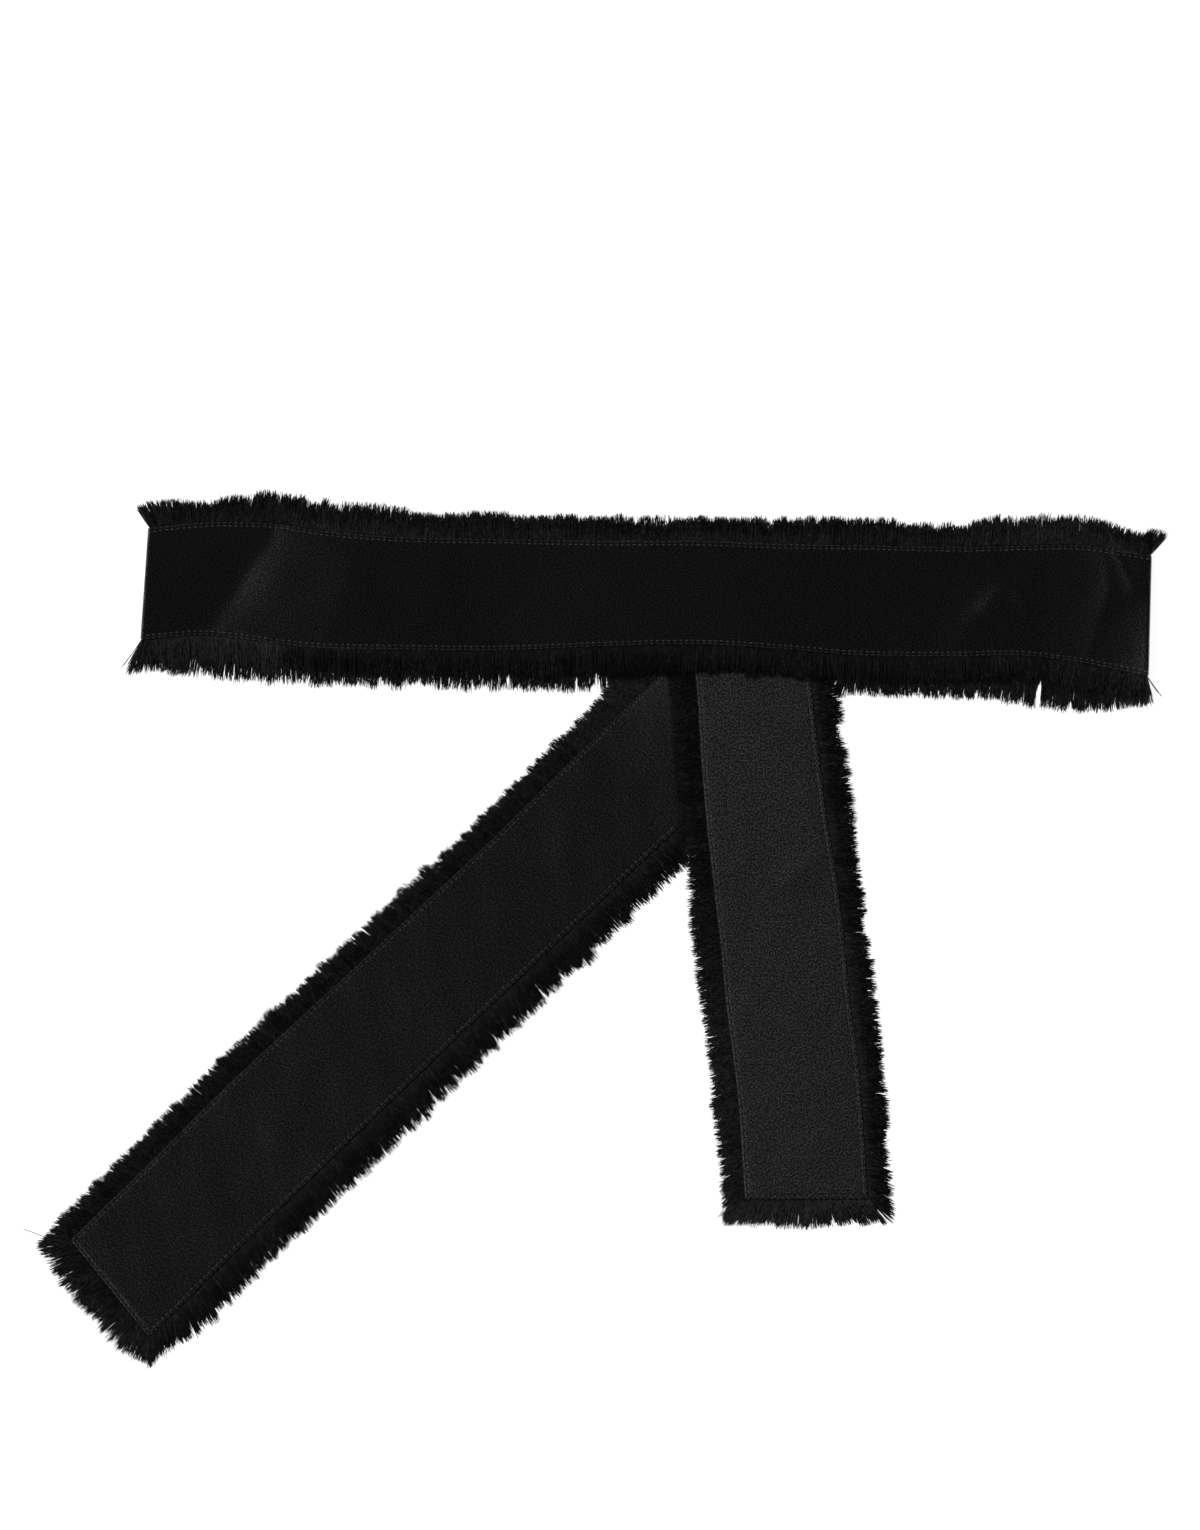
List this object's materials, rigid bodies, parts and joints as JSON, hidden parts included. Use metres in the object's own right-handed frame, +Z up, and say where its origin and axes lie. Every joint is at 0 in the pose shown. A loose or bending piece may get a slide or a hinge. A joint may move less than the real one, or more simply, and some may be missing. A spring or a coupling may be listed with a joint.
{
  "type": "tie belt",
  "caption": "Long black satin sash laid flat in a folded loop, with its two tails hanging out below and a thread fringe along every edge.",
  "frame": {"origin": "The middle of the belt's outline as it lies, at the height of the surface it rests on.", "axes": "X runs along the folded front from its left fold to its right one, Y points away from the tails, and Z points up."},
  "size_m": [0.4859, 0.3774, 0.0066],
  "materials": {
    "satin": "satin",
    "thread": "matte"
  },
  "bodies": {
    "root": {"band_front": "satin", "band_back_left": "satin", "band_back_right": "satin", "crossing": "satin", "tail_left": "satin", "tail_right": "satin", "fringe_front_top": "thread", "fringe_front_bottom": "thread", "fringe_back_left_top": "thread", "fringe_back_left_bottom": "thread", "fringe_back_right_top": "thread", "fringe_back_right_bottom": "thread", "fringe_crossing": "thread", "fringe_tail_left_outer": "thread", "fringe_tail_left_inner": "thread", "fringe_tail_left_end": "thread", "fringe_tail_right_left": "thread", "fringe_tail_right_right": "thread", "fringe_tail_right_end": "thread"}
  },
  "joints": []
}
